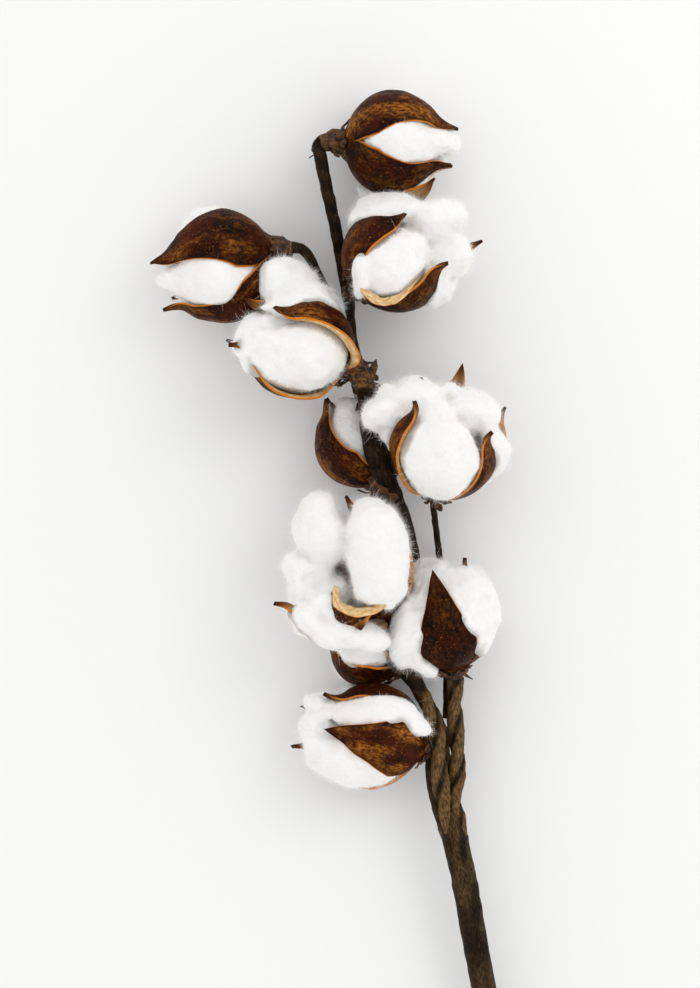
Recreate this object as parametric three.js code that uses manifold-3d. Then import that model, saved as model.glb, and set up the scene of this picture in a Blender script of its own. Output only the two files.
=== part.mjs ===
// A dried cotton bunch: ten open bolls on taped wire stems, bundled into one taped trunk and lying down.
// Millimetres, +Z up. The bunch lies on z = 0 with its boll end towards +Y and its cut end towards -Y.
//
// Each boll is a woody bur of four or five pointed valves grown together at the base, and one lock
// of lint between each pair of valves. A boll has its own frame: origin at the base of the bur, its
// axis running up through the crown, and azimuth 0 on the side that faces up when the boll lies
// down. Azimuths turn from there towards the right of the boll's heading.
import * as THREE from "three";
import { mergeVertices } from "three/addons/utils/BufferGeometryUtils.js";
import Module from "manifold-3d";

const wasm = await Module();
wasm.setup();

// Driving sizes.
const WALL = 1.3; // thickness of a bur valve
const CLEARANCE = 1.3; // from the inside of a valve to its lint
const SEAT = 0.3; // left clear round a stem by the burs and the lint that touch it
const NECK_RADIUS = 2.1; // the short stalk of a bur that sits on the side of a stem
const SEAM = 0.35; // half the gap between two locks, where the septum stands
const BASE_RADIUS = 2; // where the midline of a valve leaves the base
const BEAK_HALF_WIDTH = 0.35;
const TRUNK_RADIUS = 4.3;
const TRUNK_TOP_RADIUS = 5.3;
const TRUNK_BORE = 2.75;
const WIRE_RADIUS = 1;
const WIRE_OFFSET = 1.35; // from the middle of the trunk to the middle of each wire
const CENTRE = [7.93, -108.64]; // middle of the footprint before the origin is moved there

// One valve's usual shape. Its midline leaves the base at `rise` degrees from the axis, turns in by
// `turn` degrees at an even rate, leans out by `open` degrees, and its beak bends out by `beak`.
const VALVE = { length: 62, half_width: 14, curve: 19, rise: 84, turn: 138, open: 0, beak: 62 };

// The bolls, from the top of the bunch down. base is where the bur leaves its stem. heading is
// the way the axis points in plan, in degrees from +X, and tilt is its slope above the surface.
// azimuths places the valves round the axis. valves changes single valves by number, and puff
// says how far each lock swells out of its gap, starting with the gap after valve 0. neck is the
// point of the stem's middle line that a boll on the side of a stem reaches for.
const BOLLS = {
  a: {
    base: [-2, 141.3, 21], heading: -3, tilt: 2, azimuths: [52, 140, 200, 319],
    length: 61.5, turn: 150, rise: 92, puff: [2, 2, 2, 1.5],
    valves: { 0: { length: 58 }, 1: { length: 59 }, 2: { length: 59 }, 3: { beak: 50 } },
  },
  b: {
    base: [3.2, 82.7, 22], heading: 38, tilt: 32, azimuths: [62, 135, 220, 294],
    length: 59, open: 18, puff: [4, 5, 5, 3], neck: [-0.6, 80, 16.5],
    valves: { 0: { turn: 143, length: 55 }, 3: { turn: 152, length: 54 } },
  },
  c: {
    base: [-30.9, 97.9, 21.6], heading: 195, tilt: 0, azimuths: [28, 140, 220, 292],
    length: 65, turn: 146, rise: 92, puff: [2, 2, 2, 1],
    valves: { 0: { half_width: 15.4 }, 1: { length: 60, turn: 148 }, 2: { length: 60, turn: 148 } },
  },
  d: {
    base: [-2.4, 51, 22], heading: 158, tilt: 33, azimuths: [60, 140, 225, 288],
    length: 61, half_width: 13, open: 6, puff: [9, 3, 2, 2.5], neck: [3.4, 49.5, 23],
    valves: { 0: { open: 5, length: 57 }, 3: { half_width: 12 } },
  },
  e: {
    base: [34.3, 0.8, 27], heading: 72, tilt: 38, azimuths: [66, 130, 195, 248, 310],
    length: 58, half_width: 12, open: 18, puff: [1.5, 4, 4, 7, 2],
    valves: { 0: { length: 49, rise: 75, turn: 135 }, 1: { length: 53 } },
  },
  f: {
    base: [12.1, 4, 19.8], heading: 115, tilt: -3, azimuths: [95, 130, 210, 302],
    length: 53, puff: [1, 1.5, 1.5, -6], neck: [17.5, -2, 26.5],
  },
  g: {
    base: [18.4, -48.3, 32], heading: 139, tilt: 34, azimuths: [100, 182, 265, 338],
    length: 61, open: 24, puff: [4, 4, 4, 3], neck: [23.6, -49, 28],
  },
  h: {
    base: [41.9, -70.2, 25.5], heading: 102, tilt: 5, azimuths: [85, 180, 243, 356],
    length: 55, half_width: 12.6, open: 6, puff: [1.5, 1, -6, 3],
    valves: { 2: { length: 50, half_width: 11 } },
  },
  i: {
    base: [29.7, -101.9, 21], heading: 166, tilt: 8, azimuths: [78, 165, 275, 357],
    length: 61, half_width: 13, open: 4, puff: [2, 2, 2.5, 2],
    valves: { 0: { length: 57.5 }, 3: { length: 55 } },
  },
  j: {
    base: [19.3, -70.4, 17], heading: 146, tilt: -2, azimuths: [55, 120, 200, 302],
    length: 45, half_width: 10.5, puff: [0.5, 1, 1, 1],
    valves: { 3: { length: 42 } },
  },
};

// The stems: points along each middle line, and radii spread evenly from start to end.
const STEMS = {
  stem_main: {
    radii: [1.85, 2.4, 2.5, 2.4, 2.3, 3.2, 2.4, 2.3, 2.1, 1.9],
    points: [
      [37.5, -123.4, 22.8], [36, -113, 24.5], [35, -103, 25.6], [34.3, -94, 26], [30.6, -84, 27],
      [27.2, -77, 27.7], [24.6, -69.7, 28], [23.2, -58.5, 28.5], [24.2, -45.8, 28], [26.2, -34.6, 26.5],
      [25.4, -24.6, 25], [22.5, -12.5, 25], [18, -2.4, 27], [13.6, 7.6, 31.5], [9.2, 21.5, 33.5],
      [6.6, 37.5, 29], [3.4, 49.5, 22.5], [0.8, 60, 15.5], [-0.4, 70, 13.5], [-0.8, 80, 15],
      [-3, 92, 14.5], [-6, 107.9, 18], [-8.8, 120.4, 21], [-11.6, 134, 22], [-10.3, 140, 21.5],
      [-5.5, 141.5, 21],
    ],
  },
  stem_right: {
    radii: [1.85, 2.5, 2.5, 2.3],
    points: [
      [41.8, -122.2, 20.4], [43.3, -110, 20.5], [42.6, -96, 21], [42, -82.7, 23], [42.4, -73.4, 25.2],
    ],
  },
  stem_upper_right: {
    radii: [1.35, 1.35],
    points: [
      [38.7, -90, 19], [38.9, -80, 14], [39.3, -71, 7], [39.3, -61.7, 2.6], [38.9, -47.5, 1.8],
      [37.2, -31.1, 4], [34.9, -14.6, 13], [33.6, -5.5, 21.4], [33.5, -1.4, 25.1],
    ],
  },
  stem_left: {
    radii: [1.85, 2.2, 2.2],
    points: [[35, -124, 19.2], [33.4, -116, 19.6], [32.8, -108, 20.2], [32.8, -102.9, 20.6]],
  },
  stem_lower_left: {
    radii: [1.85, 2.1, 2.1, 2.1],
    points: [
      [38.6, -123.1, 17.4], [38.4, -113, 16.6], [37.8, -103, 16], [36, -94, 15.2], [31.5, -84.5, 14.5],
      [26.5, -77.3, 16], [22, -72.2, 17],
    ],
  },
  twig: {
    radii: [1.7, 1.7],
    points: [
      [-4.1, 65, 13.5], [-6, 77.2, 14], [-10.5, 87.5, 17], [-17, 95.5, 21], [-23.3, 97.7, 21.8],
      [-27.7, 98.7, 21.6],
    ],
  },
};
const TRUNK = [
  [91.2, -377.4, 4.3], [72.3, -286.8, 10.5], [54.1, -199.6, 15.5], [46.3, -157.2, 18], [42.3, -139.3, 19],
  [38.6, -124.3, 20],
];

// Grid of one valve and of one lock.
const ALONG_VALVE = [0, 0.09, 0.22, 0.38, 0.56, 0.74, 0.88, 1];
const ACROSS_VALVE = [-1, -0.4, 0.4, 1];
const ALONG_LOCK = [0.22, 0.38, 0.56, 0.74];
const LOCK_FOOT = 0.12; // where a lock starts and ends, as fractions of the valve's length
const LOCK_TOP = 0.87;
const CROWN = 4; // how far the lint rises above its top ring
const HEEL = 3.5; // how far its foot keeps above the base of the bur
const ACROSS_GAP = [0.2, 0.5, 0.8];
const LEAST_TURN = 0.02; // radians between the corners of a lock where the valves nearly touch

const material = (color, roughness) => new THREE.MeshStandardMaterial({ color, roughness, metalness: 0 });
const BUR = material("#3a1d0c", 0.55);
const LINT = material("#f2f0ea", 0.95);
const TAPE = material("#3a2a1a", 0.8);
const WIRE = material("#6b6f66", 0.45);

const radians = THREE.MathUtils.degToRad;
const smooth = (a, b, x) => THREE.MathUtils.smoothstep(x, a, b);
const mix = THREE.MathUtils.lerp;

// A point given by azimuth, distance from the axis and height.
const around = (azimuth, radius, height) =>
  new THREE.Vector3(radius * Math.cos(azimuth), radius * Math.sin(azimuth), height);

// The angle of a valve's midline from the axis, at a fraction along its length.
function lean(valve, along) {
  const turned = (valve.turn * Math.min(along, 0.86)) / 0.86;
  return radians(
    valve.rise - turned + valve.open * smooth(0, 0.55, along) + valve.beak * smooth(0.8, 1, along),
  );
}

// The midline: stepping along the valve and adding up its lean gives distance and height.
function midline(valve, along) {
  const steps = 60;
  const step = along / steps;
  let radius = BASE_RADIUS;
  let height = 0;
  for (let i = 0; i < steps; i++) {
    const angle = lean(valve, (i + 0.5) * step);
    radius += Math.sin(angle) * step * valve.length;
    height += Math.cos(angle) * step * valve.length;
  }
  return { radius, height, angle: lean(valve, along) };
}

// Half the width of a valve: a round shoulder up to 0.4 of its length, then a taper to the beak.
function halfWidth(valve, along) {
  const shoulder = Math.sqrt(1 - Math.max(0, 1 - along / 0.4) ** 2);
  const taper = Math.max(0, 1 - Math.max(0, (along - 0.4) / 0.6)) ** 0.9;
  return Math.max(valve.half_width * shoulder * taper, BEAK_HALF_WIDTH);
}

// A point of a valve. across runs from -1 to 1, and depth goes in from the outer face. The width
// is held to the valve's own sector, so that neighbours meet at the base and part higher up.
function valvePoint(valve, along, across, depth) {
  const mid = midline(valve, along);
  const curve = valve.curve * (0.3 + 0.7 * Math.sin(Math.PI * along ** 0.8));
  const sector = across > 0 ? valve.after : valve.before;
  const join = 1.03 - 0.1 * smooth(0.12, 0.3, along);
  const room = Math.max(mid.radius * Math.tan(Math.min(sector, 1.3)) * join, 0.5);
  const bend = (Math.min(halfWidth(valve, along), room) * across) / curve;
  const sideways = (curve - depth) * Math.sin(bend);
  const inwards = curve - (curve - depth) * Math.cos(bend);
  const radius = mid.radius - inwards * Math.cos(mid.angle);
  const height = mid.height + inwards * Math.sin(mid.angle);
  return around(valve.azimuth, radius, height).add(around(valve.azimuth + Math.PI / 2, sideways, 0));
}

// The valves of a boll, each with its azimuth and half the angle to the next valve on each side.
function valvesOf(boll) {
  const count = boll.azimuths.length;
  const gap = (i) => {
    const turn = boll.azimuths[(i + 1) % count] - boll.azimuths[i];
    return radians(THREE.MathUtils.euclideanModulo(turn, 360));
  };
  return boll.azimuths.map((azimuth, i) => ({
    ...VALVE,
    ...boll,
    ...boll.valves?.[i],
    azimuth: radians(azimuth),
    after: gap(i) / 2,
    before: gap((i + count - 1) % count) / 2,
  }));
}

// The matrix that takes a boll's own frame to the bunch.
function placeOf(boll) {
  const heading = radians(boll.heading);
  const tilt = radians(boll.tilt);
  const axis = new THREE.Vector3(
    Math.cos(tilt) * Math.cos(heading),
    Math.cos(tilt) * Math.sin(heading),
    Math.sin(tilt),
  );
  const up = new THREE.Vector3(0, 0, 1).addScaledVector(axis, -axis.z).normalize();
  const side = new THREE.Vector3().crossVectors(axis, up);
  return new THREE.Matrix4().makeBasis(up, side, axis).setPosition(...boll.base);
}

// A closed surface from rings of points, each ring in the same order, with a point at each end.
function shellOfRings(rings, start, end) {
  const points = [start, ...rings.flat(), end];
  const faces = [];
  const size = rings[0].length;
  const last = points.length - 1;
  const at = (ring, i) => 1 + ring * size + (i % size);
  for (let i = 0; i < size; i++) {
    faces.push(0, at(0, i + 1), at(0, i));
    faces.push(last, at(rings.length - 1, i), at(rings.length - 1, i + 1));
    for (let ring = 0; ring + 1 < rings.length; ring++) {
      faces.push(at(ring, i), at(ring, i + 1), at(ring + 1, i + 1));
      faces.push(at(ring, i), at(ring + 1, i + 1), at(ring + 1, i));
    }
  }
  const geometry = new THREE.BufferGeometry().setFromPoints(points);
  return geometry.setIndex(faces);
}

// One valve as a closed shell: each ring goes along the outer face and back along the inner one.
function valveGeometry(valve) {
  const rings = ALONG_VALVE.map((along) => {
    const wall = WALL * mix(1, 0.6, smooth(0.7, 1, along));
    const outer = ACROSS_VALVE.map((across) => valvePoint(valve, along, across, 0));
    const inner = ACROSS_VALVE.map((across) => valvePoint(valve, along, across, wall));
    return [...outer, ...inner.reverse()];
  });
  const middle = (ring) => ring.reduce((sum, p) => sum.add(p), new THREE.Vector3()).divideScalar(ring.length);
  return shellOfRings(rings, middle(rings[0]), middle(rings.at(-1)));
}

function solidOf(geometry) {
  const bare = geometry.index ? geometry.toNonIndexed() : geometry.clone();
  bare.deleteAttribute("normal");
  bare.deleteAttribute("uv");
  const merged = mergeVertices(bare, 1e-4);
  const vertProperties = new Float32Array(merged.attributes.position.array);
  const triVerts = new Uint32Array(merged.index.array);
  return new wasm.Manifold(new wasm.Mesh({ numProp: 3, vertProperties, triVerts }));
}

function geometryOf(solid) {
  const { vertProperties, triVerts } = solid.getMesh();
  const geometry = new THREE.BufferGeometry();
  geometry.setAttribute("position", new THREE.BufferAttribute(vertProperties, 3));
  return geometry.setIndex(new THREE.BufferAttribute(triVerts, 1));
}

// The solid base that joins the valves and sits on the stem.
function burBase() {
  const outline = [
    [0, -2.4], [2.4, -2.4], [3.2, -0.6], [6, 0.1], [6.6, 1.5], [3, 2.3], [0, 2.3],
  ].map(([radius, height]) => new THREE.Vector2(radius, height));
  return new THREE.LatheGeometry(outline, 8).rotateX(Math.PI / 2);
}

// A bur is grown in one piece: its valves, its base and its neck joined. The stems' room is cut
// from it, so that it sits round the stem that carries it.
function burGeometry(boll, place, room) {
  let bur = solidOf(burBase());
  for (const valve of valvesOf(boll)) bur = bur.add(solidOf(valveGeometry(valve)));
  bur = solidOf(geometryOf(bur).applyMatrix4(place));
  if (boll.neck) {
    bur = bur.add(solidOf(stemGeometry([boll.base, boll.neck], [NECK_RADIUS, NECK_RADIUS], 8, 4)));
  }
  return geometryOf(largest(bur.subtract(room)));
}

// The azimuth, distance from the axis and height of a point.
const polar = (p) => ({ azimuth: Math.atan2(p.y, p.x), radius: Math.hypot(p.x, p.y), height: p.z });

// How far one azimuth is past another, from -180 to 180 degrees, in radians.
const past = (azimuth, start) =>
  THREE.MathUtils.euclideanModulo(azimuth - start + Math.PI, 2 * Math.PI) - Math.PI;

// The same point turned about the axis until it is at least `least` past the azimuth `middle`, or,
// for a negative `least`, at least that much before it.
function keptFrom(p, middle, least) {
  const { azimuth, radius, height } = polar(p);
  const turn = past(azimuth, middle);
  return around(middle + (least > 0 ? Math.max(turn, least) : Math.min(turn, least)), radius, height);
}

// One ring of a lock: along the inside of one valve, out through the gap, along the inside of the
// next valve, and back to the axis. In the gap it swells as a half ellipse `puff` high. Each ring
// shrinks towards the heart of the lock near both ends, which rounds the lock off.
function lockRing(one, next, puff, along) {
  const depth = WALL + CLEARANCE;
  const seam = (valve) => SEAM / Math.max(halfWidth(valve, along), 1);
  const margins = [polar(valvePoint(one, along, 1, depth)), polar(valvePoint(next, along, -1, depth))];
  const middle = margins[0].azimuth + past(margins[1].azimuth, margins[0].azimuth) / 2;
  const here = [seam(one), 0.4, 1].map((across, k) =>
    keptFrom(valvePoint(one, along, across, depth), middle, (k - 3) * LEAST_TURN),
  );
  const there = [-1, -0.4, -seam(next)].map((across, k) =>
    keptFrom(valvePoint(next, along, across, depth), middle, (k + 1) * LEAST_TURN),
  );
  const [from, to] = [polar(here[2]), polar(there[0])];
  const open = THREE.MathUtils.euclideanModulo(to.azimuth - from.azimuth, 2 * Math.PI);
  const width = open * Math.max(from.radius, to.radius);
  const rounding = Math.sqrt(Math.sin(Math.PI * mix(0.1, 0.9, (along - LOCK_FOOT) / (LOCK_TOP - LOCK_FOOT))));
  const swell = Math.min(puff, 0.5 * width) * rounding;
  const bulge = ACROSS_GAP.map((t) => {
    const radius = mix(from.radius, to.radius, t) + swell * Math.sqrt(Math.sin(Math.PI * t));
    return around(from.azimuth + open * t, radius, mix(from.height, to.height, t));
  });
  const height = (here[0].z + there[2].z) / 2;
  const core = around(middle, 1.2, height);
  const heart = around(middle, 0.5 * polar(bulge[1]).radius, height);
  heart.z += CROWN * smooth(0.5, LOCK_TOP, along) + HEEL * (1 - smooth(LOCK_FOOT, 0.38, along));
  const foot = Math.sqrt(1 - Math.max(0, (0.36 - along) / (0.36 - LOCK_FOOT)) ** 2);
  const top = Math.sqrt(1 - Math.max(0, (along - 0.66) / (LOCK_TOP - 0.66)) ** 2);
  const ring = [core, ...here, ...bulge, ...there].map((p) => heart.clone().lerp(p, foot * top));
  return { ring, heart };
}

// A lock of lint, from its foot beside the base of the bur to its crown between the beaks.
function lockGeometry(boll, index) {
  const valves = valvesOf(boll);
  const one = valves[index];
  const next = valves[(index + 1) % valves.length];
  const level = (along) => lockRing(one, next, boll.puff[index], along);
  const rings = ALONG_LOCK.map((along) => level(along).ring);
  return shellOfRings(rings, level(LOCK_FOOT).heart, level(LOCK_TOP).heart);
}

// Lint gives where it lies on the surface: what would be below it is pressed flat on it.
function pressedFlat(geometry) {
  const position = geometry.getAttribute("position");
  for (let i = 0; i < position.count; i++) position.setZ(i, Math.max(position.getZ(i), 0));
  return geometry;
}

// The biggest of the pieces a cut leaves.
function largest(solid) {
  return solid.decompose().reduce((best, piece) => (piece.volume() > best.volume() ? piece : best));
}

// A round stem along a smooth curve. Its radius follows the list, spread evenly along it.
function stemGeometry(points, radii, sides, spacing) {
  const curve = new THREE.CatmullRomCurve3(points.map((p) => new THREE.Vector3(...p)));
  const stations = Math.round(curve.getLength() / spacing);
  const frames = curve.computeFrenetFrames(stations, false);
  const radiusAt = (along) => {
    const place = along * (radii.length - 1);
    const before = Math.min(Math.floor(place), radii.length - 2);
    return mix(radii[before], radii[before + 1], place - before);
  };
  const ringAt = (i) => {
    const centre = curve.getPointAt(i / stations);
    return Array.from({ length: sides }, (_, k) => {
      const turn = (2 * Math.PI * k) / sides;
      const out = frames.normals[i].clone().multiplyScalar(Math.cos(turn));
      out.addScaledVector(frames.binormals[i], Math.sin(turn));
      return centre.clone().addScaledVector(out, radiusAt(i / stations));
    });
  };
  const rings = Array.from({ length: stations + 1 }, (_, i) => ringAt(i));
  return shellOfRings(rings, curve.getPointAt(0), curve.getPointAt(1));
}

// The same middle line with both ends taken further by `extra`.
function longer(points, extra) {
  const reach = (from, to) => {
    const step = new THREE.Vector3(...to).sub(new THREE.Vector3(...from)).normalize();
    return new THREE.Vector3(...to).addScaledVector(step, extra).toArray();
  };
  return [reach(points[1], points[0]), ...points, reach(points.at(-2), points.at(-1))];
}

// The trunk's tape is a sleeve round the wires, a little wider where the stems come out of it.
function trunkGeometry() {
  const outer = solidOf(stemGeometry(TRUNK, [TRUNK_RADIUS, TRUNK_TOP_RADIUS], 12, 16));
  const bore = solidOf(stemGeometry(longer(TRUNK, 2), [TRUNK_BORE, TRUNK_BORE], 8, 16));
  return geometryOf(outer.subtract(bore));
}

// Two wires lie side by side inside the tape and run the length of the trunk.
function wireGeometry(index) {
  const curve = new THREE.CatmullRomCurve3(TRUNK.map((p) => new THREE.Vector3(...p)));
  const turn = Math.PI * index;
  const points = curve.getPoints(6).map((centre, i) => {
    const along = curve.getTangent(i / 6);
    const side = new THREE.Vector3(0, 0, 1).cross(along).normalize();
    const up = new THREE.Vector3().crossVectors(along, side);
    return centre
      .addScaledVector(side, WIRE_OFFSET * Math.cos(turn))
      .addScaledVector(up, WIRE_OFFSET * Math.sin(turn))
      .toArray();
  });
  return stemGeometry(points, [WIRE_RADIUS, WIRE_RADIUS], 6, 24);
}

const bunch = new THREE.Group();
bunch.position.set(-CENTRE[0], -CENTRE[1], 0);

function add(name, geometry, finish) {
  const mesh = new THREE.Mesh(geometry, finish);
  mesh.name = name;
  bunch.add(mesh);
}

const stemOf = ({ points, radii }) => stemGeometry(points, radii, 8, 7);
const roomOf = ({ points, radii }) => {
  const wider = radii.map((radius) => radius + SEAT);
  return solidOf(stemGeometry(longer(points, SEAT), wider, 8, 7));
};
const room = Object.values(STEMS).map(roomOf).reduce((all, one) => all.add(one));

for (const [letter, boll] of Object.entries(BOLLS)) {
  const place = placeOf(boll);
  add(`bur_${letter}`, burGeometry(boll, place, room), BUR);
  boll.azimuths.forEach((_, i) => {
    const lock = solidOf(pressedFlat(lockGeometry(boll, i).applyMatrix4(place)));
    add(`lint_${letter}_${i + 1}`, geometryOf(largest(lock.subtract(room))), LINT);
  });
}
for (const [name, stem] of Object.entries(STEMS)) add(name, stemOf(stem), TAPE);
add("trunk_wrap", trunkGeometry(), TAPE);
["wire_one", "wire_two"].forEach((name, i) => add(name, wireGeometry(i), WIRE));

export default bunch;
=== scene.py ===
"""A dried cotton bunch lying on a pale floor: open bolls on taped wire stems that join in one trunk.

All shapes are worked out in millimetres in the bunch's own layout, with z as the height off the
floor, and their meshes are stored in the frame's metres."""
import math
import bpy
import numpy as np
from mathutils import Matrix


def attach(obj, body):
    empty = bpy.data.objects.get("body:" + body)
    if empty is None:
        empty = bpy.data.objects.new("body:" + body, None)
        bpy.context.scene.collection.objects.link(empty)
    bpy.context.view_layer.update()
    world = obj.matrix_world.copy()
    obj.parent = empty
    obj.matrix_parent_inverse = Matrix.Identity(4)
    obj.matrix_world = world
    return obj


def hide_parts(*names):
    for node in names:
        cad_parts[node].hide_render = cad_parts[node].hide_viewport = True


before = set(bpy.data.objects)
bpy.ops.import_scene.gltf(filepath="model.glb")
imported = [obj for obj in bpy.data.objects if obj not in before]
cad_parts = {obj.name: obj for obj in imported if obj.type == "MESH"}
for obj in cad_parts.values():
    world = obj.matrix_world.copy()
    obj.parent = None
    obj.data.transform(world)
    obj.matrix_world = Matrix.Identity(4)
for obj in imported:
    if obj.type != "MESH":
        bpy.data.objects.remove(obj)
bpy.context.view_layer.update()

# ---------------------------------------------------------------------------------------------
# Stems: florist's wires wound with brown crepe tape, each turn of which laps over the last and
# leaves a low step. The strands just above the trunk are two wires twisted together before they
# were taped, which shows as a slow two-sided screw.

# Each stem's points run from its lower end to its boll. Its radii are spread evenly along it,
# twist is how far up it the screw reaches, and tone is how olive its tape is.
STEMS = {
    "stem_main": dict(
        radii=[2.5, 3.2, 3.1, 2.8, 2.6, 5.2, 3.0, 2.6, 2.5, 2.9], twist=55, tone=0.1,
        points=[
            [37.5, -123.4, 22.8], [36, -113, 24.5], [35, -103, 25.6], [34.3, -94, 26], [30.6, -84, 27],
            [27.2, -77, 27.7], [24.6, -69.7, 28], [23.2, -58.5, 28.5], [24.2, -45.8, 28], [26.2, -34.6, 26.5],
            [25.4, -24.6, 25], [22.5, -12.5, 25], [18, -2.4, 27], [13.6, 7.6, 31.5], [9.2, 21.5, 33.5],
            [6.6, 37.5, 29], [3.4, 49.5, 22.5], [0.8, 60, 15.5], [-0.4, 70, 13.5], [-0.8, 80, 15],
            [-3, 92, 14.5], [-6, 107.9, 18], [-8.8, 120.4, 21], [-12, 136, 22], [-12.2, 140.5, 21.8],
            [-9.5, 142, 21.5], [-5.5, 141.5, 21],
        ],
    ),
    "stem_right": dict(
        radii=[2.4, 3.0, 3.1, 2.9], twist=60, tone=0.1,
        points=[
            [41.8, -122.2, 20.4], [43.3, -110, 20.5], [42.6, -96, 21], [42, -82.7, 23], [42.4, -73.4, 25.2],
        ],
    ),
    "stem_upper_right": dict(
        radii=[1.35, 1.35], twist=0, tone=0.1,
        points=[
            [38.7, -90, 19], [38.9, -80, 14], [39.3, -71, 7], [39.3, -61.7, 2.6], [38.9, -47.5, 1.8],
            [37.2, -31.1, 4], [34.9, -14.6, 13], [33.6, -5.5, 21.4], [33.5, -1.4, 25.1],
        ],
    ),
    "stem_left": dict(
        radii=[2.4, 2.7, 2.7], twist=0, tone=0.15,
        points=[[35, -124, 19.2], [33.4, -116, 19.6], [32.8, -108, 20.2], [32.8, -102.9, 20.6]],
    ),
    "stem_lower_left": dict(
        radii=[2.4, 2.7, 2.7, 2.5], twist=40, tone=0.15,
        points=[
            [38.6, -123.1, 17.4], [38.4, -113, 16.6], [37.8, -103, 16], [36, -94, 15.2], [31.5, -84.5, 14.5],
            [26.5, -77.3, 16], [22, -72.2, 17],
        ],
    ),
    "twig": dict(
        radii=[1.7, 1.8, 1.9, 2.8], twist=0, tone=0.15,
        points=[
            [-4.1, 65, 13.5], [-7, 77.2, 14], [-12.3, 87.5, 17], [-18.3, 97.6, 20.6], [-22, 98.8, 21.6],
            [-27.7, 98.7, 21.6],
        ],
    ),
}
# The middle of the trunk, from its cut end up to where the stems part.
TRUNK = [
    [91.2, -377.4, 4.3], [72.3, -286.8, 10.5], [54.1, -199.6, 15.5], [46.3, -157.2, 18], [42.3, -139.3, 19],
    [38.6, -124.3, 20],
]
# A strand that starts this near the trunk's upper end is carried on down into it: so far down, with
# that share of its distance from the trunk's middle left there.
BESIDE_TRUNK = 8
SUNK = ((30, 0.1), (20, 0.45), (9, 0.85))
# How far along a stem one turn of the tape goes, and one turn of the twisted wires. The screw of the
# wires fades out over the last part of its length.
STEM_TAPE_PITCH = 8.5
SCREW_PITCH = 40
SCREW_FADE = 15
STEM_SIDES = 24
# Added to a place in this layout, SHIFT gives the place in the frame.
SHIFT = np.array([-7.93, 108.64, 0.0])


def smooth(a, b, x):
    """0 below a, 1 above b, and an even S curve between."""
    t = np.clip((x - a) / (b - a), 0, 1)
    return t * t * (3 - 2 * t)


def between(t, a, b, start, end):
    """The point at t on the line that is at a when t is start, and at b when t is end."""
    return ((end - t) * a + (t - start) * b) / (end - start)


def points_at(places, known, path):
    """A path's points at other places along it, where known is the place of each given point."""
    return np.stack([np.interp(places, known, path[:, axis]) for axis in range(3)], -1)


def spline(points, spacing):
    """Evenly spaced points on a smooth curve through the given ones, and their lengths along it. It
    is a centripetal Catmull-Rom curve: its knots are the square roots of the gaps, added up."""
    p = np.array(points, float)
    p = np.concatenate([[2 * p[0] - p[1]], p, [2 * p[-1] - p[-2]]])
    knot = np.concatenate([[0], np.cumsum(np.linalg.norm(np.diff(p, axis=0), axis=1) ** 0.5)])
    parts = []
    for i in range(1, len(p) - 2):
        t = np.linspace(knot[i], knot[i + 1], 30)[:, None]
        one, two, three = (between(t, p[j], p[j + 1], knot[j], knot[j + 1]) for j in (i - 1, i, i + 1))
        first = between(t, one, two, knot[i - 1], knot[i + 1])
        second = between(t, two, three, knot[i], knot[i + 2])
        parts.append(between(t, first, second, knot[i], knot[i + 1]))
    fine = np.concatenate([part[:-1] for part in parts] + [parts[-1][-1:]])
    run = np.concatenate([[0], np.cumsum(np.linalg.norm(np.diff(fine, axis=0), axis=1))])
    along = np.linspace(0, run[-1], int(run[-1] / spacing) + 2)
    return points_at(along, run, fine), along


def sunk(points):
    """A strand's points with its lower end carried on down the trunk, sinking towards its middle."""
    offset = np.array(points[0]) - TRUNK[-1]
    down = np.array(TRUNK[-2]) - TRUNK[-1]
    down = down / np.linalg.norm(down)
    return [list(TRUNK[-1] + down * far + offset * share) for far, share in SUNK] + points


def angles(sides):
    """The angles of that many points evenly round a ring."""
    return np.arange(sides) * 2 * np.pi / sides


def tube(path, reach):
    """Rings round a path at those distances from it, for each ring and angle. The rings don't twist:
    angle 0 of a ring is that of the last one, made square to the path again."""
    ahead = np.gradient(path, axis=0)
    ahead /= np.linalg.norm(ahead, axis=1, keepdims=True)
    out = [np.cross(ahead[0], [0, 0, 1.0])]
    for direction in ahead[1:]:
        out.append(out[-1] - direction * np.dot(out[-1], direction))
    out = np.array(out)
    out /= np.linalg.norm(out, axis=1, keepdims=True)
    over = np.cross(ahead, out)
    turn = angles(reach.shape[1])
    ways = out[:, None] * np.cos(turn)[None, :, None] + over[:, None] * np.sin(turn)[None, :, None]
    return path[:, None] + reach[..., None] * ways


def tape_steps(along, turn, pitch):
    """The step at each turn of tape: rising slowly to 1 along the screw and then dropping."""
    part = (along / pitch + turn / (2 * np.pi)) % 1
    return smooth(0, 0.85, part) * (1 - smooth(0.93, 1, part))


def wire_ridges(along, turn):
    """How proud two twisted wires stand: 1 on each wire and 0 in the grooves between, from the
    cosine of the angle past a wire, which goes once round in each pitch of the screw."""
    return np.abs(np.cos(turn - along * 2 * np.pi / SCREW_PITCH)) ** 0.8


def noise(points, size, seed):
    """Smooth noise from -1 to 1: each corner of a cubic grid of that size has a random value, hashed
    from the corner's numbers, and they are blended with an S curve between."""
    place = points / size + 31.7 * seed
    cell = np.floor(place).astype(np.int64)
    share = place - cell
    share = share * share * (3 - 2 * share)
    total = np.zeros(points.shape[:-1])
    for corner in np.ndindex(2, 2, 2):
        x, y, z = np.moveaxis(cell + corner, -1, 0)
        mixed = (x * 73856093) ^ (y * 19349663) ^ (z * 83492791)
        mixed = ((mixed ^ (mixed >> 13)) * 1274126177) & 0x7FFFFFFF
        weight = np.prod(np.where(np.array(corner) == 1, share, 1 - share), axis=-1)
        total += weight * ((mixed & 0xFFFF) / 32767.5 - 1)
    return total


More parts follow.
